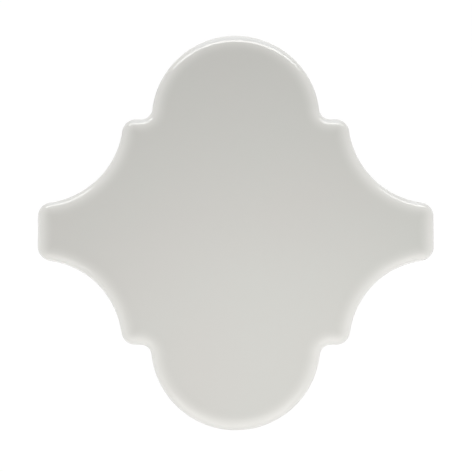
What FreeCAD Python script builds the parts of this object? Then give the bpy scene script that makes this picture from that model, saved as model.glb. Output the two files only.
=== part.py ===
"""Arabesque wall tile: one pressed ceramic piece with a cushioned face and a keyed back.

It lies on its back on a level floor. Millimetres. The origin is in the middle of the back,
+X points to a flat end, +Y to a round lobe and +Z out of the glazed face.
"""
import FreeCAD
import Part
import Sketcher
import math
import os

# Every driving size, in millimetres
DIMENSIONS = {
    "tile_width": 120.0,      # over the two flat ends
    "tile_height": 120.0,     # over the two lobes
    "tile_thickness": 8.5,    # back to face
    "shoulder_width": 8.7,    # from a lobe's side to the hollow's rim, before the corners are rounded
    "nest_gap": 0.15,         # how much wider a hollow is than the neighbour's lobe that fits it
    "end_height": 17.1,       # flat end, before its corners are rounded
    "neck_round": 3.3,        # inside corner between a lobe and its shoulder
    "face_corner": 2.2,       # corners of the flat face, inside the cushion edge
    "edge_roll": 2.0,         # cushion edge all round the face
    "back_bevel": 0.8,        # pressed bevel all round the back
    "key_margin": 6.0,        # plain border of the back, outside the keying channels
    "key_pitch": 7.2,         # channel to channel
    "key_width": 4.5,         # channel at its mouth
    "key_flank": 0.6,         # run of each sloping channel side
    "key_depth": 0.7,         # channel into the body
}

# Sizes that follow from the driving ones
LOBE_RADIUS = "(dims.tile_width / 2 - dims.shoulder_width - dims.nest_gap) / 2"
HOLLOW_RADIUS = f"({LOBE_RADIUS} + dims.nest_gap)"
SHOULDER_Y = f"(dims.end_height / 2 + {HOLLOW_RADIUS})"
CORNER_ROUND = "(dims.edge_roll + dims.face_corner)"
KEY_PAIRS = "floor((dims.tile_height / 2 - dims.key_margin) / dims.key_pitch)"
FIRST_KEY_Y = f"(0.5 - {KEY_PAIRS}) * dims.key_pitch"

# The points of a sketch's curves, and the sketch's own origin
START, END, CENTRE = range(1, 4)
ORIGIN = (-1, START)

TOUCH = 1e-6


def add_sheet(doc):
    sheet = doc.addObject("Spreadsheet::Sheet", "dims")
    for row, (alias, value) in enumerate(DIMENSIONS.items(), start=1):
        sheet.set(f"A{row}", alias)
        sheet.set(f"B{row}", str(value))
        sheet.setAlias(f"B{row}", alias)
    doc.recompute()


def origin_feature(body, role):
    return next(item for item in body.Origin.OriginFeatures if item.Role == role)


def add_sketch(body, name, role):
    sketch = body.newObject("Sketcher::SketchObject", name)
    sketch.AttachmentSupport = [(origin_feature(body, role), "")]
    sketch.MapMode = "FlatFace"
    return sketch


def add_line(sketch, first, last):
    return sketch.addGeometry(Part.LineSegment(FreeCAD.Vector(*first), FreeCAD.Vector(*last)))


def add_arc(sketch, centre, radius, first, last):
    circle = Part.Circle(FreeCAD.Vector(*centre), FreeCAD.Vector(0, 0, 1), radius)
    return sketch.addGeometry(Part.ArcOfCircle(circle, first, last))


def constrain(sketch, kind, *parts):
    return sketch.addConstraint(Sketcher.Constraint(kind, *parts))


def measure(sketch, name, expression, kind, *parts):
    """Give a sketch a named dimension that follows the sheet."""
    index = constrain(sketch, kind, *parts, sketch.evalExpression(expression))
    sketch.renameConstraint(index, name)
    sketch.setExpression(f"Constraints.{name}", expression)


def close_quarter(sketch, lobe, end, width, height):
    """Close a quarter outline from its end, along both axes, back to the top of its lobe."""
    along_x = add_line(sketch, (width, 0), (0, 0))
    along_y = add_line(sketch, (0, 0), (0, height))
    constrain(sketch, "Coincident", end, END, along_x, START)
    constrain(sketch, "Coincident", along_x, END, along_y, START)
    constrain(sketch, "Coincident", along_y, END, lobe, END)
    constrain(sketch, "Coincident", along_x, END, *ORIGIN)
    constrain(sketch, "Horizontal", along_x)
    constrain(sketch, "Vertical", along_y)
    constrain(sketch, "Vertical", lobe, CENTRE, *ORIGIN)


def draw_quarter_tile(sketch):
    """Lobe, neck, shoulder, corner, hollow, corner and end, each tangent to the next."""
    half_width = sketch.evalExpression("dims.tile_width / 2")
    half_height = sketch.evalExpression("dims.tile_height / 2")
    lobe_radius = sketch.evalExpression(LOBE_RADIUS)
    hollow_radius = sketch.evalExpression(HOLLOW_RADIUS)
    neck_round = sketch.evalExpression("dims.neck_round")
    corner_round = sketch.evalExpression(CORNER_ROUND)
    shoulder_y = sketch.evalExpression(SHOULDER_Y)

    lobe_y = half_height - lobe_radius
    neck_y = shoulder_y + neck_round
    neck_x = math.sqrt((lobe_radius + neck_round) ** 2 - (neck_y - lobe_y) ** 2)
    neck_angle = math.atan2(neck_y - lobe_y, neck_x)
    corner_reach = math.sqrt((hollow_radius + corner_round) ** 2 - corner_round ** 2)
    corner_x = half_width - corner_reach
    corner_angle = math.atan2(corner_round, corner_reach)
    end_y = shoulder_y - corner_reach

    lobe = add_arc(sketch, (0, lobe_y), lobe_radius, neck_angle, math.pi / 2)
    neck = add_arc(sketch, (neck_x, neck_y), neck_round, math.pi + neck_angle, 1.5 * math.pi)
    shoulder = add_line(sketch, (neck_x, shoulder_y), (corner_x, shoulder_y))
    corner = add_arc(
        sketch, (corner_x, shoulder_y - corner_round), corner_round, corner_angle, math.pi / 2
    )
    hollow = add_arc(
        sketch,
        (half_width, shoulder_y),
        hollow_radius,
        math.pi + corner_angle,
        1.5 * math.pi - corner_angle,
    )
    end_corner = add_arc(
        sketch, (half_width - corner_round, end_y), corner_round, 0, math.pi / 2 - corner_angle
    )
    end = add_line(sketch, (half_width, end_y), (half_width, 0))

    constrain(sketch, "Tangent", lobe, START, neck, START)
    constrain(sketch, "Tangent", neck, END, shoulder, START)
    constrain(sketch, "Tangent", shoulder, END, corner, END)
    constrain(sketch, "Tangent", corner, START, hollow, START)
    constrain(sketch, "Tangent", hollow, END, end_corner, END)
    constrain(sketch, "Tangent", end_corner, START, end, START)
    close_quarter(sketch, lobe, end, half_width, half_height)
    constrain(sketch, "Horizontal", shoulder)
    constrain(sketch, "Vertical", end)
    constrain(sketch, "Horizontal", shoulder, END, hollow, CENTRE)
    constrain(sketch, "Equal", corner, end_corner)

    measure(sketch, "half_height", "dims.tile_height / 2", "DistanceY", *ORIGIN, lobe, END)
    measure(sketch, "half_width", "dims.tile_width / 2", "DistanceX", *ORIGIN, end, END)
    measure(sketch, "hollow_x", "dims.tile_width / 2", "DistanceX", *ORIGIN, hollow, CENTRE)
    measure(sketch, "shoulder_y", SHOULDER_Y, "DistanceY", *ORIGIN, hollow, CENTRE)
    measure(sketch, "lobe_radius", LOBE_RADIUS, "Radius", lobe)
    measure(sketch, "neck_round", "dims.neck_round", "Radius", neck)
    measure(sketch, "corner_round", CORNER_ROUND, "Radius", corner)
    measure(sketch, "hollow_radius", HOLLOW_RADIUS, "Radius", hollow)


def draw_quarter_field(sketch):
    """The part of the back that is keyed: the outline drawn in by the plain border."""
    margin = sketch.evalExpression("dims.key_margin")
    half_width = sketch.evalExpression("dims.tile_width / 2")
    top_y = sketch.evalExpression("dims.tile_height / 2") - margin
    lobe_radius = sketch.evalExpression(LOBE_RADIUS) - margin
    hollow_radius = sketch.evalExpression(HOLLOW_RADIUS) + margin
    hollow_y = sketch.evalExpression(SHOULDER_Y)

    lobe_y = top_y - lobe_radius
    shoulder_y = hollow_y - margin
    end_x = half_width - margin
    lobe_reach = math.sqrt(lobe_radius ** 2 - (shoulder_y - lobe_y) ** 2)
    lobe_angle = math.atan2(shoulder_y - lobe_y, lobe_reach)
    hollow_reach = math.sqrt(hollow_radius ** 2 - margin ** 2)
    hollow_angle = math.atan2(margin, hollow_reach)

    lobe = add_arc(sketch, (0, lobe_y), lobe_radius, lobe_angle, math.pi / 2)
    shoulder = add_line(sketch, (lobe_reach, shoulder_y), (half_width - hollow_reach, shoulder_y))
    hollow = add_arc(
        sketch,
        (half_width, hollow_y),
        hollow_radius,
        math.pi + hollow_angle,
        1.5 * math.pi - hollow_angle,
    )
    end = add_line(sketch, (end_x, hollow_y - hollow_reach), (end_x, 0))

    constrain(sketch, "Coincident", lobe, START, shoulder, START)
    constrain(sketch, "Coincident", shoulder, END, hollow, START)
    constrain(sketch, "Coincident", hollow, END, end, START)
    close_quarter(sketch, lobe, end, end_x, top_y)
    constrain(sketch, "Horizontal", shoulder)
    constrain(sketch, "Vertical", end)

    measure(sketch, "top_y", "dims.tile_height / 2 - dims.key_margin", "DistanceY", *ORIGIN, lobe, END)
    measure(sketch, "end_x", "dims.tile_width / 2 - dims.key_margin", "DistanceX", *ORIGIN, end, END)
    measure(sketch, "hollow_x", "dims.tile_width / 2", "DistanceX", *ORIGIN, hollow, CENTRE)
    measure(sketch, "hollow_y", SHOULDER_Y, "DistanceY", *ORIGIN, hollow, CENTRE)
    measure(sketch, "shoulder_y", f"{SHOULDER_Y} - dims.key_margin", "DistanceY", *ORIGIN, shoulder, END)
    measure(sketch, "lobe_radius", f"{LOBE_RADIUS} - dims.key_margin", "Radius", lobe)
    measure(sketch, "hollow_radius", f"{HOLLOW_RADIUS} + dims.key_margin", "Radius", hollow)


def draw_key(sketch):
    """Section of the first channel, wide at the back and narrower at its floor."""
    centre_y = sketch.evalExpression(FIRST_KEY_Y)
    mouth = sketch.evalExpression("dims.key_width / 2")
    floor = mouth - sketch.evalExpression("dims.key_flank")
    depth = sketch.evalExpression("dims.key_depth")

    corners = [
        (centre_y - mouth, 0),
        (centre_y + mouth, 0),
        (centre_y + floor, depth),
        (centre_y - floor, depth),
    ]
    sides = [add_line(sketch, corners[i - 1], corners[i]) for i in range(len(corners))]
    left, back, right, bottom = sides
    for side, following in zip(sides, sides[1:] + sides[:1]):
        constrain(sketch, "Coincident", side, END, following, START)
    constrain(sketch, "Horizontal", back)
    constrain(sketch, "Horizontal", bottom)
    constrain(sketch, "Equal", left, right)
    constrain(sketch, "Horizontal", back, START, *ORIGIN)

    measure(sketch, "first_edge", f"{FIRST_KEY_Y} - dims.key_width / 2", "DistanceX", *ORIGIN, back, START)
    measure(sketch, "key_width", "dims.key_width", "DistanceX", back, START, back, END)
    measure(sketch, "key_flank", "dims.key_flank", "DistanceX", left, END, left, START)
    measure(sketch, "key_depth", "dims.key_depth", "DistanceY", right, START, right, END)


def add_pad(body, sketch, length):
    pad = body.newObject("PartDesign::Pad", f"{body.Name}_pad")
    pad.Profile = sketch
    pad.setExpression("Length", length)
    return pad


def outline_edges(feature, height):
    """Names of a quarter's edges at one height, without the two on the mirror planes."""
    names = []
    for index, edge in enumerate(feature.Shape.Edges, start=1):
        box = edge.BoundBox
        level = abs(box.ZMin - height) < TOUCH and abs(box.ZMax - height) < TOUCH
        if level and edge.CenterOfMass.x > TOUCH and edge.CenterOfMass.y > TOUCH:
            names.append(f"Edge{index}")
    return names


def mirror_quarter(body):
    """Make the whole of a quarter: over to the left, then over to the bottom."""
    for role in ("YZ_Plane", "XZ_Plane"):
        body.Document.recompute()
        mirror = body.newObject("PartDesign::Mirrored", f"{body.Name}_mirror")
        mirror.TransformMode = "Whole shape"
        mirror.MirrorPlane = (origin_feature(body, role), [""])
        body.Tip = mirror


def add_slab(doc):
    """The tile with its cushion edge and back bevel, before the back is keyed."""
    body = doc.addObject("PartDesign::Body", "slab")
    outline = add_sketch(body, "quarter_outline", "XY_Plane")
    draw_quarter_tile(outline)
    pad = add_pad(body, outline, "dims.tile_thickness")
    doc.recompute()

    cushion = body.newObject("PartDesign::Fillet", "cushion_edge")
    cushion.Base = (pad, outline_edges(pad, pad.Length.Value))
    cushion.setExpression("Radius", "dims.edge_roll")
    doc.recompute()

    bevel = body.newObject("PartDesign::Chamfer", "back_edge")
    bevel.Base = (cushion, outline_edges(cushion, 0))
    bevel.setExpression("Size", "dims.back_bevel")
    mirror_quarter(body)
    return body


def add_key_field(doc):
    body = doc.addObject("PartDesign::Body", "key_field")
    outline = add_sketch(body, "quarter_field", "XY_Plane")
    draw_quarter_field(outline)
    add_pad(body, outline, "dims.key_depth")
    mirror_quarter(body)
    return body


def add_key_bars(doc):
    """One bar for each channel, as long as the tile is wide."""
    body = doc.addObject("PartDesign::Body", "key_bars")
    section = add_sketch(body, "key_section", "YZ_Plane")
    draw_key(section)
    pad = add_pad(body, section, "dims.tile_width")
    pad.SideType = "Symmetric"

    row = body.newObject("PartDesign::LinearPattern", "key_row")
    row.Originals = [pad]
    row.Direction = (origin_feature(body, "Y_Axis"), [""])
    row.Mode = "Spacing"
    row.setExpression("Offset", "dims.key_pitch")
    row.setExpression("Occurrences", f"2 * {KEY_PAIRS}")
    body.Tip = row
    return body


def add_tile(doc):
    channels = doc.addObject("Part::Common", "key_channels")
    channels.Base = add_key_field(doc)
    channels.Tool = add_key_bars(doc)

    tile = doc.addObject("Part::Cut", "arabesque_tile")
    tile.Label = "arabesque_tile"
    tile.Base = add_slab(doc)
    tile.Tool = channels
    return tile


doc = FreeCAD.newDocument("arabesque_tile")
add_sheet(doc)
tile = add_tile(doc)
doc.recompute()

for item in doc.Objects:
    if "Invalid" in item.State or "Error" in item.State:
        raise RuntimeError(f"{item.Name} did not build: {item.State}")
if tile.Shape.isNull() or not tile.Shape.isValid() or len(tile.Shape.Solids) != 1:
    raise RuntimeError("the tile is not one valid solid")

os.makedirs("parts", exist_ok=True)
tile.Shape.exportStep("parts/arabesque_tile.step")
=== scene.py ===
import math

import bpy
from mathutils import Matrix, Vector


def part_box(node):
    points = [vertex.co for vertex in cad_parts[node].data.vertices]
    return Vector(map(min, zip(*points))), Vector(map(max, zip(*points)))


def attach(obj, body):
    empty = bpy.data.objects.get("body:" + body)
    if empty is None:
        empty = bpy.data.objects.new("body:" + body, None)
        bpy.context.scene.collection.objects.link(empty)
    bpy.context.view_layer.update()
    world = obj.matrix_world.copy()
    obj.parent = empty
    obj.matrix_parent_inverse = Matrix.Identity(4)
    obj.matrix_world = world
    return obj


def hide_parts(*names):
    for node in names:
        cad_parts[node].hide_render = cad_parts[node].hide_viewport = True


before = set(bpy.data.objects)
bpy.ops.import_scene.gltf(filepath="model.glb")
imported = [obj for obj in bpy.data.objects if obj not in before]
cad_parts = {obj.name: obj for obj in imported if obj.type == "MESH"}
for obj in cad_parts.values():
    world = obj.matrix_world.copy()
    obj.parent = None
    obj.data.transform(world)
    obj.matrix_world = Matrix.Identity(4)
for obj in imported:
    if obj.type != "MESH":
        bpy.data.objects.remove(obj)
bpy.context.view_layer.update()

MM = 0.001
NODE = "arabesque_tile"
tile_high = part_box(NODE)[1]

# Outline of the tile, the same as its solid has
HALF_WIDTH = tile_high.x
HALF_HEIGHT = tile_high.y
THICKNESS = tile_high.z
SHOULDER_WIDTH = 8.7 * MM
NEST_GAP = 0.15 * MM
END_HEIGHT = 17.1 * MM
NECK_ROUND = 3.3 * MM
CORNER_ROUND = 4.2 * MM
LOBE_RADIUS = (HALF_WIDTH - SHOULDER_WIDTH - NEST_GAP) / 2
HOLLOW_RADIUS = LOBE_RADIUS + NEST_GAP
LOBE_Y = HALF_HEIGHT - LOBE_RADIUS
SHOULDER_Y = END_HEIGHT / 2 + HOLLOW_RADIUS

# Points along the rim for each curve
LOBE_STEPS = 34
NECK_STEPS = 10
CORNER_STEPS = 12
HOLLOW_STEPS = 32

# Cushion edge: how far it reaches in over the face, how far it drops, and its rings
CUSHION_REACH = 5.2 * MM
CUSHION_DROP = 1.5 * MM
CUSHION_RINGS = 22

# Glaze on the sides, and the bare body under it
GLAZE_EDGE = 3.4 * MM
GLAZE_LIP = 0.25 * MM
GLAZE_WANDER = 1.4 * MM
GLAZE_RUN = 7 * MM
BACK_BEVEL = 0.8 * MM

# Keying channels in the back
KEY_MARGIN = 6.0 * MM
KEY_PITCH = 7.2 * MM
KEY_WIDTH = 4.5 * MM
KEY_FLANK = 0.6 * MM
KEY_DEPTH = 0.7 * MM
KEY_PAIRS = int((HALF_HEIGHT - KEY_MARGIN) / KEY_PITCH)
MARGIN_RINGS = 12
FIELD_AREA = 20 * MM * MM   # the faces of the keyed field are larger than this

FACE_GRID = 7.5 * MM
WELD = 0.02 * MM
CORNER_WELD = 0.2 * MM
LEVEL = 0.9                 # how straight up or down a level face points
CREASE = math.radians(30)   # edges that turn by less are smooth


def swing(centre, degrees, steps):
    """Carry the rim on along an arc, clockwise if degrees is above 0."""
    bpy.ops.mesh.spin(
        steps=steps,
        angle=math.radians(degrees),
        center=(centre[0], centre[1], GLAZE_EDGE),
        axis=(0, 0, 1),
    )


def go_on(right, up):
    """Carry the rim on along a straight line."""
    bpy.ops.mesh.extrude_region_move(TRANSFORM_OT_translate={"value": (right, up, 0)})


def trace_quarter():
    """Trace a quarter of the rim, from the top of a lobe to the middle of a flat end."""
    neck_y = SHOULDER_Y + NECK_ROUND
    neck_x = math.sqrt((LOBE_RADIUS + NECK_ROUND) ** 2 - (neck_y - LOBE_Y) ** 2)
    neck_turn = 90 - math.degrees(math.atan2(neck_y - LOBE_Y, neck_x))
    reach = math.sqrt((HOLLOW_RADIUS + CORNER_ROUND) ** 2 - CORNER_ROUND ** 2)
    corner_x = HALF_WIDTH - reach
    corner_turn = 90 - math.degrees(math.atan2(CORNER_ROUND, reach))
    hollow_turn = 2 * corner_turn - 90
    end_y = SHOULDER_Y - reach

    bpy.ops.object.select_all(action="DESELECT")
    bpy.ops.mesh.primitive_plane_add(size=MM, location=(0, HALF_HEIGHT, GLAZE_EDGE))
    bpy.ops.object.transform_apply(location=True, rotation=True, scale=True)
    bpy.ops.object.mode_set(mode="EDIT")
    bpy.ops.mesh.select_mode(type="VERT")
    bpy.ops.mesh.select_all(action="SELECT")
    bpy.ops.mesh.merge(type="CENTER")

    swing((0, LOBE_Y), neck_turn, LOBE_STEPS)
    swing((neck_x, neck_y), -neck_turn, NECK_STEPS)
    go_on(corner_x - neck_x, 0)
    swing((corner_x, SHOULDER_Y - CORNER_ROUND), corner_turn, CORNER_STEPS)
    swing((HALF_WIDTH, SHOULDER_Y), -hollow_turn, HOLLOW_STEPS)
    swing((HALF_WIDTH - CORNER_ROUND, end_y), corner_turn, CORNER_STEPS)
    go_on(0, -end_y)
    bpy.ops.object.mode_set(mode="OBJECT")
    return bpy.context.object


def mirror_quarter(tile):
    """Close the rim from its quarter, over to the left and over to the bottom."""
    bpy.ops.object.modifier_add(type="MIRROR")
    mirror = tile.modifiers[-1]
    mirror.use_axis = (True, True, False)
    mirror.merge_threshold = WELD
    bpy.ops.object.modifier_apply(modifier=mirror.name)
    bpy.ops.object.mode_set(mode="EDIT")
    bpy.ops.mesh.select_all(action="SELECT")
    bpy.ops.mesh.remove_doubles(threshold=WELD)
    bpy.ops.mesh.edge_face_add()


def pick_faces(tile, wanted):
    """Select the faces that wanted says yes to, and nothing else."""
    bpy.ops.mesh.select_mode(type="FACE")
    bpy.ops.mesh.select_all(action="DESELECT")
    bpy.ops.object.mode_set(mode="OBJECT")
    for face in tile.data.polygons:
        face.select = wanted(face)
    bpy.ops.object.mode_set(mode="EDIT")


def pick_level(tile, height, facing):
    """Select the level faces at one height that face up, 1, or down, -1."""
    pick_faces(
        tile,
        lambda face: abs(face.center.z - height) < WELD and face.normal.z * facing > LEVEL,
    )


def step_in(reach, rise):
    """Draw the selected face in by reach and move it out by rise."""
    bpy.ops.mesh.inset(thickness=reach, depth=rise, use_even_offset=True)


def close_corners():
    """Bring each corner of the selected face, whose round has run out, to one point."""
    bpy.ops.mesh.remove_doubles(threshold=CORNER_WELD)


def raise_cushion(tile):
    """Roll the rim over into the face, steep at the side and easing to flat."""
    bpy.ops.mesh.select_all(action="SELECT")
    foot = THICKNESS - CUSHION_DROP
    bpy.ops.mesh.extrude_region_move(TRANSFORM_OT_translate={"value": (0, 0, foot - GLAZE_EDGE)})
    bpy.ops.mesh.select_all(action="SELECT")
    bpy.ops.mesh.normals_make_consistent(inside=False)
    pick_level(tile, foot, 1)

    reach = 0
    rise = 0
    for ring in range(1, CUSHION_RINGS + 1):
        turn = math.radians(90 * ring / CUSHION_RINGS)
        next_reach = CUSHION_REACH * (1 - math.cos(turn))
        next_rise = CUSHION_DROP * math.sin(turn)
        step_in(next_reach - reach, next_rise - rise)
        reach = next_reach
        rise = next_rise
        if reach > CORNER_ROUND - CORNER_WELD:
            close_corners()


def cut_level(tile, height, facing, axis, places):
    """Cut the level faces at one height across, at each place along an axis."""
    for place in places:
        pick_level(tile, height, facing)
        bpy.ops.mesh.bisect(plane_co=axis * place + Vector((0, 0, height)), plane_no=axis)


def grid_face(tile):
    """Cut the flat of the face into squares."""
    for axis, half in ((Vector((1, 0, 0)), HALF_WIDTH), (Vector((0, 1, 0)), HALF_HEIGHT)):
        lines = int(half / FACE_GRID)
        cut_level(tile, THICKNESS, 1, axis, [FACE_GRID * line for line in range(-lines, lines + 1)])


def in_field(face):
    """Whether a face is part of the keyed field, which lies across the middle of the back."""
    return abs(face.center.z) < WELD and abs(face.center.x) < MM and face.area > FIELD_AREA


def cut_field(tile, place):
    """Cut the keyed field from arm to arm, at one place up the tile."""
    pick_faces(tile, in_field)
    bpy.ops.mesh.bisect(plane_co=(0, place, 0), plane_no=(0, 1, 0))


def form_back(tile):
    """Set the bare side in under the glaze, bevel it and press the keying channels."""
    pick_level(tile, GLAZE_EDGE, -1)
    step_in(GLAZE_LIP, GLAZE_LIP / 2)
    side = GLAZE_EDGE - GLAZE_LIP / 2 - BACK_BEVEL
    bpy.ops.mesh.extrude_region_move(TRANSFORM_OT_translate={"value": (0, 0, -side)})
    step_in(BACK_BEVEL, BACK_BEVEL)
    margin = KEY_MARGIN - GLAZE_LIP - BACK_BEVEL
    for _ in range(MARGIN_RINGS):
        step_in(margin / MARGIN_RINGS, 0)
        close_corners()

    keys = [(pair - 0.5) * KEY_PITCH for pair in range(1 - KEY_PAIRS, KEY_PAIRS + 1)]
    for key in keys:
        for edge in (key - KEY_WIDTH / 2, key + KEY_WIDTH / 2):
            cut_field(tile, edge)
    pick_faces(
        tile,
        lambda face: in_field(face)
        and min(abs(face.center.y - key) for key in keys) < KEY_WIDTH / 2,
    )
    bpy.ops.mesh.extrude_region_move(TRANSFORM_OT_translate={"value": (0, 0, KEY_DEPTH)})
    for key in keys:
        pick_faces(
            tile,
            lambda face: abs(face.center.z - KEY_DEPTH) < WELD
            and abs(face.center.y - key) < KEY_WIDTH / 2,
        )
        bpy.ops.transform.resize(
            value=(1, 1 - 2 * KEY_FLANK / KEY_WIDTH, 1), center_override=(0, key, KEY_DEPTH)
        )


tile = trace_quarter()
tile.name = "glazed_tile"
mirror_quarter(tile)
raise_cushion(tile)
grid_face(tile)
form_back(tile)
bpy.ops.mesh.select_all(action="SELECT")
bpy.ops.mesh.normals_make_consistent(inside=False)
bpy.ops.object.mode_set(mode="OBJECT")
bpy.ops.object.shade_smooth_by_angle(angle=CREASE)
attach(tile, "root")
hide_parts(NODE)

# Glaze
WARM_GLAZE = "#C9C7C3"
GREEN_GLAZE = "#C7C9C4"
# Paler colours for the cushion: partly glaze run thin, partly painted highlight that brightens the rolled
# rim
THIN_GLAZE_AND_RIM_LIGHT = "#DCDCD8"
BARE_GLAZE_AND_RIM_LIGHT = "#E4E4E1"
GLAZE_IOR = 1.52
GLAZE_SMOOTHEST = 0.06
GLAZE_ROUGHEST = 0.10
CLOUD_SIZE = 34 * MM
WAVE_SIZE = 15 * MM
WAVE_DEPTH = 0.012 * MM
PEEL_SIZE = 1.6 * MM
PEEL_DEPTH = 0.0006 * MM
THIN_AND_LIT_LEAN = 0.33          # lean of the cushion at which the glaze has run thin and the painted highlight on the rim is full
BARE_AND_LIT_LEAN = 0.80          # and at which the body shows through it, with the rim painted paler still as highlight

# Body
STAINED_BODY = "#D6CCBB"
CLEAN_BODY = "#E8E0D2"
BODY_IOR = 1.5
BODY_ROUGHNESS = 0.88
GRIT_SIZE = 0.7 * MM
GRIT_DEPTH = 0.10 * MM
STAIN_SIZE = 9 * MM


def linear(hex_colour):
    """An sRGB hex colour as linear red, green, blue and alpha."""
    parts = [int(hex_colour[at:at + 2], 16) / 255 for at in (1, 3, 5)]
    curve = [part / 12.92 if part <= 0.04045 else ((part + 0.055) / 1.055) ** 2.4 for part in parts]
    return curve + [1]


def add_node(tree, kind, inputs=None, **settings):
    """Add a node with its settings. An input takes a value, or a link from another node's socket."""
    node = tree.nodes.new(kind)
    for name, value in settings.items():
        setattr(node, name, value)
    for name, value in (inputs or {}).items():
        if isinstance(value, bpy.types.NodeSocket):
            tree.links.new(value, node.inputs[name])
        else:
            node.inputs[name].default_value = value
    return node


def new_material(name):
    """A material with an empty node tree."""
    material = bpy.data.materials.new(name)
    material.use_nodes = True
    material.node_tree.nodes.clear()
    return material, material.node_tree


def gloss_glaze():
    """Opaque pale-grey gloss glaze, sprayed on and fired.

    It gives an even tone that drifts a little between warm and green, a clear mirror with a
    slight wave, and a paler edge over the cushion: partly where the melt ran thin, partly a painted
    highlight on the rolled rim.
    """
    material, tree = new_material("gloss_glaze")
    place = add_node(tree, "ShaderNodeTexCoord")
    cloud = add_node(
        tree, "ShaderNodeTexNoise",
        {"Vector": place.outputs["Object"], "Scale": 1 / CLOUD_SIZE, "Detail": 2.0, "Roughness": 0.5},
    )
    tone = add_node(
        tree, "ShaderNodeMix",
        {"Factor": cloud.outputs["Fac"], "A": linear(WARM_GLAZE), "B": linear(GREEN_GLAZE)},
        data_type="RGBA",
    )
    sideways = add_node(
        tree, "ShaderNodeVectorMath", {0: place.outputs["Normal"], 1: (1, 1, 0)}, operation="MULTIPLY"
    )
    lean = add_node(tree, "ShaderNodeVectorMath", {0: sideways.outputs[0]}, operation="LENGTH")
    # Paler towards the steep rim: partly thin glaze, partly a painted highlight
    thinned_and_lit = add_node(
        tree, "ShaderNodeMapRange",
        {"Value": lean.outputs["Value"], "From Min": 0.0, "From Max": THIN_AND_LIT_LEAN},
        interpolation_type="SMOOTHSTEP",
    )
    thin_and_lit_glaze = add_node(
        tree, "ShaderNodeMix",
        {"Factor": thinned_and_lit.outputs["Result"], "A": tone.outputs["Result"], "B": linear(THIN_GLAZE_AND_RIM_LIGHT)},
        data_type="RGBA",
    )
    bared_and_lit = add_node(
        tree, "ShaderNodeMapRange",
        {"Value": lean.outputs["Value"], "From Min": THIN_AND_LIT_LEAN / 2, "From Max": BARE_AND_LIT_LEAN},
        interpolation_type="SMOOTHSTEP",
    )
    glaze = add_node(
        tree, "ShaderNodeMix",
        {"Factor": bared_and_lit.outputs["Result"], "A": thin_and_lit_glaze.outputs["Result"], "B": linear(BARE_GLAZE_AND_RIM_LIGHT)},
        data_type="RGBA",
    )
    wave = add_node(
        tree, "ShaderNodeTexNoise",
        {"Vector": place.outputs["Object"], "Scale": 1 / WAVE_SIZE, "Detail": 1.0, "Roughness": 0.4},
    )
    swell = add_node(
        tree, "ShaderNodeBump", {"Height": wave.outputs["Fac"], "Strength": 1.0, "Distance": WAVE_DEPTH}
    )
    peel = add_node(
        tree, "ShaderNodeTexNoise",
        {"Vector": place.outputs["Object"], "Scale": 1 / PEEL_SIZE, "Detail": 1.0, "Roughness": 0.5},
    )
    skin = add_node(
        tree, "ShaderNodeBump",
        {
            "Height": peel.outputs["Fac"],
            "Strength": 1.0,
            "Distance": PEEL_DEPTH,
            "Normal": swell.outputs["Normal"],
        },
    )
    gloss = add_node(
        tree, "ShaderNodeMapRange",
        {"Value": cloud.outputs["Fac"], "To Min": GLAZE_SMOOTHEST, "To Max": GLAZE_ROUGHEST},
    )
    surface = add_node(
        tree, "ShaderNodeBsdfPrincipled",
        {
            "Base Color": glaze.outputs["Result"],
            "Roughness": gloss.outputs["Result"],
            "IOR": GLAZE_IOR,
            "Normal": skin.outputs["Normal"],
        },
    )
    add_node(tree, "ShaderNodeOutputMaterial", {"Surface": surface.outputs["BSDF"]})
    return material


def fired_biscuit():
    """Bare white-firing clay, dry-pressed and fired.

    It gives a matte, slightly warm tone, a fine sandy grain and faint stains.
    """
    material, tree = new_material("fired_biscuit")
    place = add_node(tree, "ShaderNodeTexCoord")
    grit = add_node(
        tree, "ShaderNodeTexNoise",
        {"Vector": place.outputs["Object"], "Scale": 1 / GRIT_SIZE, "Detail": 3.0, "Roughness": 0.6},
    )
    stain = add_node(
        tree, "ShaderNodeTexNoise",
        {"Vector": place.outputs["Object"], "Scale": 1 / STAIN_SIZE, "Detail": 4.0, "Roughness": 0.6},
    )
    tone = add_node(
        tree, "ShaderNodeMix",
        {"Factor": stain.outputs["Fac"], "A": linear(STAINED_BODY), "B": linear(CLEAN_BODY)},
        data_type="RGBA",
    )
    bump = add_node(
        tree, "ShaderNodeBump", {"Height": grit.outputs["Fac"], "Strength": 1.0, "Distance": GRIT_DEPTH}
    )
    surface = add_node(
        tree, "ShaderNodeBsdfPrincipled",
        {
            "Base Color": tone.outputs["Result"],
            "Roughness": BODY_ROUGHNESS,
            "IOR": BODY_IOR,
            "Normal": bump.outputs["Normal"],
        },
    )
    add_node(tree, "ShaderNodeOutputMaterial", {"Surface": surface.outputs["BSDF"]})
    return material


def finish_tile(tile):
    """Glaze down to its edge on the sides, and bare body below it and on the back."""
    tile.data.materials.append(gloss_glaze())
    tile.data.materials.append(fired_biscuit())
    for face in tile.data.polygons:
        face.material_index = 0 if face.center.z > GLAZE_EDGE - GLAZE_LIP / 2 else 1


def run_glaze(tile):
    """Let the glaze's lower edge wander, as the melt stopped on its way down the sides."""
    edge = tile.vertex_groups.new(name="glaze_edge")
    low = GLAZE_EDGE - GLAZE_LIP
    high = GLAZE_EDGE + WELD
    edge.add([point.index for point in tile.data.vertices if low < point.co.z < high], 1, "REPLACE")
    melt = bpy.data.textures.new("glaze_melt", "CLOUDS")
    melt.noise_scale = GLAZE_RUN
    bpy.ops.object.modifier_add(type="DISPLACE")
    run = tile.modifiers[-1]
    run.vertex_group = edge.name
    run.texture = melt
    run.texture_coords = "LOCAL"
    run.direction = "Z"
    run.strength = GLAZE_WANDER
    bpy.ops.object.modifier_apply(modifier=run.name)
    tile.vertex_groups.clear()


finish_tile(tile)
run_glaze(tile)

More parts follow.
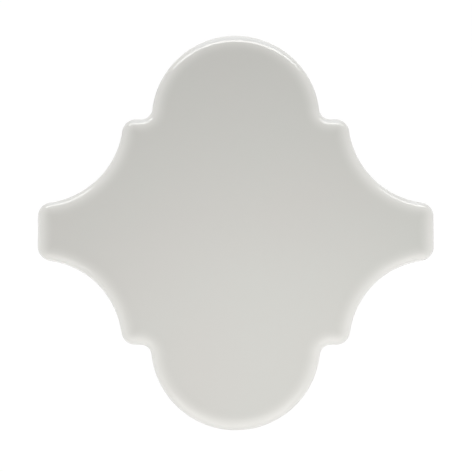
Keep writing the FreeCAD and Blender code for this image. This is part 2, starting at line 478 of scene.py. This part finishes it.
# Stage
FLOOR_SIZE = 6.0
FLOOR_GAP = 0.05 * MM     # so that the floor and the back don't lie in one plane
FLOOR_GLOW = 0.97         # white that the floor shows without any light on it
FLOOR_SHADE = 0.06        # and what the light adds, which a shadow takes away
FLOOR_CARD = "#E6E6E6"    # the floor as it lights the tile
HORIZON_LIGHT = 1.35      # light that the surroundings cast on the tile from low down
CEILING = 0.7             # how high up it has faded out, where straight up is 1
GROUND_LIGHT = 0.75       # and from below, which the floor hides in this scene
BACK_RIM = (0, 0.06, 0.008)

# Camera: the tile is seen from above and a little from the front
LENS = 150.0
SENSOR = 36.0
FRAME_PIXELS = 472
PIXEL = 0.3032 * MM       # size of a pixel at the middle of the tile
CAMERA_LEAN = math.radians(4.456)
TILE_RIGHT = -0.29        # middle of the tile in the frame, from the frame's middle, in pixels
TILE_UP = 4.51


def set_floor():
    """White card under the tile."""
    bpy.ops.object.select_all(action="DESELECT")
    bpy.ops.mesh.primitive_plane_add(size=FLOOR_SIZE, location=(0, 0, -FLOOR_GAP))
    floor = bpy.context.object
    floor.name = "floor"
    floor.data.materials.append(white_floor())


def seen_rays(tree):
    """1 where a surface is looked at, straight or mirrored or through glass, 0 where it only lights."""
    path = add_node(tree, "ShaderNodeLightPath")
    mirrored = add_node(
        tree, "ShaderNodeMath", {0: path.outputs["Is Camera Ray"], 1: path.outputs["Is Glossy Ray"]},
        operation="MAXIMUM",
    )
    seen = add_node(
        tree, "ShaderNodeMath", {0: mirrored.outputs[0], 1: path.outputs["Is Transmission Ray"]},
        operation="MAXIMUM",
    )
    return seen.outputs[0]


def white_floor():
    """Matte white card: white to the eye, with a faint shadow."""
    material, tree = new_material("white_card")
    matte = add_node(tree, "ShaderNodeBsdfDiffuse", {"Color": linear(FLOOR_CARD)})
    shade = add_node(tree, "ShaderNodeBsdfDiffuse", {"Color": (FLOOR_SHADE, FLOOR_SHADE, FLOOR_SHADE, 1)})
    glow = add_node(tree, "ShaderNodeEmission", {"Color": (1, 1, 1, 1), "Strength": FLOOR_GLOW})
    white = add_node(tree, "ShaderNodeAddShader", {0: shade.outputs[0], 1: glow.outputs[0]})
    card = add_node(
        tree, "ShaderNodeMixShader", {0: seen_rays(tree), 1: matte.outputs[0], 2: white.outputs[0]}
    )
    add_node(tree, "ShaderNodeOutputMaterial", {"Surface": card.outputs[0]})
    return material


def set_world():
    """White surroundings to look at, which cast a softer light on the tile."""
    world = bpy.data.worlds.new("white_studio")
    world.use_nodes = True
    tree = world.node_tree
    tree.nodes.clear()
    place = add_node(tree, "ShaderNodeTexCoord")
    direction = add_node(tree, "ShaderNodeSeparateXYZ", {"Vector": place.outputs["Generated"]})
    dimmed = add_node(
        tree, "ShaderNodeMapRange",
        {
            "Value": direction.outputs["Z"],
            "From Min": 0.0,
            "From Max": CEILING,
            "To Min": HORIZON_LIGHT,
            "To Max": 0.0,
        },
    )
    above = add_node(
        tree, "ShaderNodeMath", {0: direction.outputs["Z"], 1: 0.0}, operation="GREATER_THAN"
    )
    strength = add_node(
        tree, "ShaderNodeMix",
        {"Factor": above.outputs[0], "A": GROUND_LIGHT, "B": dimmed.outputs["Result"]},
    )
    ambient = add_node(
        tree, "ShaderNodeBackground", {"Color": (1, 1, 1, 1), "Strength": strength.outputs["Result"]}
    )
    white = add_node(tree, "ShaderNodeBackground", {"Color": (1, 1, 1, 1), "Strength": 1.0})
    studio = add_node(
        tree, "ShaderNodeMixShader", {0: seen_rays(tree), 1: ambient.outputs[0], 2: white.outputs[0]}
    )
    add_node(tree, "ShaderNodeOutputWorld", {"Surface": studio.outputs[0]})
    bpy.context.scene.world = world


def face_towards(place, aim):
    """The turn that points a lamp or a card at place towards aim."""
    return (Vector(aim) - Vector(place)).to_track_quat("-Z", "Y").to_euler()


def add_lamp(name, place, aim, size, power, colour="#FFFFFF", mirrored=False):
    """A soft panel lamp that doesn't show to the camera, nor in the gloss unless it is mirrored."""
    data = bpy.data.lights.new(name, "AREA")
    data.shape = "RECTANGLE"
    data.size, data.size_y = size
    data.energy = power
    data.color = linear(colour)[:3]
    lamp = bpy.data.objects.new(name, data)
    bpy.context.scene.collection.objects.link(lamp)
    lamp.location = place
    lamp.rotation_euler = face_towards(place, aim)
    lamp.visible_camera = False
    lamp.visible_glossy = mirrored


def add_card(name, place, aim, size, brightness, colour="#FFFFFF"):
    """A lit card that shows only as a mirror image in the gloss."""
    bpy.ops.object.select_all(action="DESELECT")
    bpy.ops.mesh.primitive_plane_add(size=1, location=place, rotation=face_towards(place, aim))
    card = bpy.context.object
    card.name = name
    card.scale = (size[0], size[1], 1)
    card.visible_camera = False
    card.visible_diffuse = False
    card.visible_shadow = False
    card.data.materials.append(lit_card(brightness, colour))


def lit_card(brightness, colour):
    """Matte card under its own lamp: an even glow, with no light cast on the tile."""
    material, tree = new_material("lit_card")
    glow = add_node(tree, "ShaderNodeEmission", {"Color": linear(colour), "Strength": brightness})
    add_node(tree, "ShaderNodeOutputMaterial", {"Surface": glow.outputs[0]})
    material.cycles.emission_sampling = "NONE"
    return material


def set_lights():
    """A panel over the face, low fills for the rims, and what the gloss mirrors at front and back."""
    add_lamp(
        "key_panel", place=(0.012, -0.050, 0.17), aim=(0.012, -0.050, 0),
        size=(0.12, 0.12), power=0.207, colour="#FFFEFE",
    )
    add_lamp("back_fill", place=(0, 0.24, 0.05), aim=BACK_RIM, size=(0.16, 0.06), power=0.250)
    add_lamp("left_fill", place=(-0.14, 0, 0.022), aim=(-0.06, 0, 0.008), size=(0.06, 0.03), power=0.0247)
    add_lamp("right_fill", place=(0.14, 0, 0.022), aim=(0.06, 0, 0.008), size=(0.06, 0.03), power=0.0168)
    add_lamp(
        "front_panel", place=(0, -0.302, 0.403), aim=(0, -0.06, 0),
        size=(0.53, 0.287), power=0.53, colour="#FFFAF6", mirrored=True,
    )
    add_card("back_strip", place=(0, 0.331, 0.343), aim=BACK_RIM, size=(0.57, 0.06), brightness=8.0)
    add_card(
        "back_card", place=(0, 0.446, 0.232), aim=BACK_RIM,
        size=(0.42, 0.25), brightness=2.6, colour="#EAF0FF",
    )


def set_camera():
    """Above the tile, with its middle where it is in the frame."""
    data = bpy.data.cameras.new("camera")
    data.lens = LENS
    data.sensor_width = SENSOR
    distance = PIXEL * FRAME_PIXELS * LENS / SENSOR
    camera = bpy.data.objects.new("camera", data)
    bpy.context.scene.collection.objects.link(camera)
    camera.location = (
        -TILE_RIGHT * PIXEL,
        -TILE_UP * PIXEL - distance * math.sin(CAMERA_LEAN),
        THICKNESS - CUSHION_DROP + distance * math.cos(CAMERA_LEAN),
    )
    camera.rotation_euler = (CAMERA_LEAN, 0, 0)
    bpy.context.scene.camera = camera


set_floor()
set_world()
set_lights()
set_camera()
bpy.context.scene.view_settings.view_transform = "Standard"
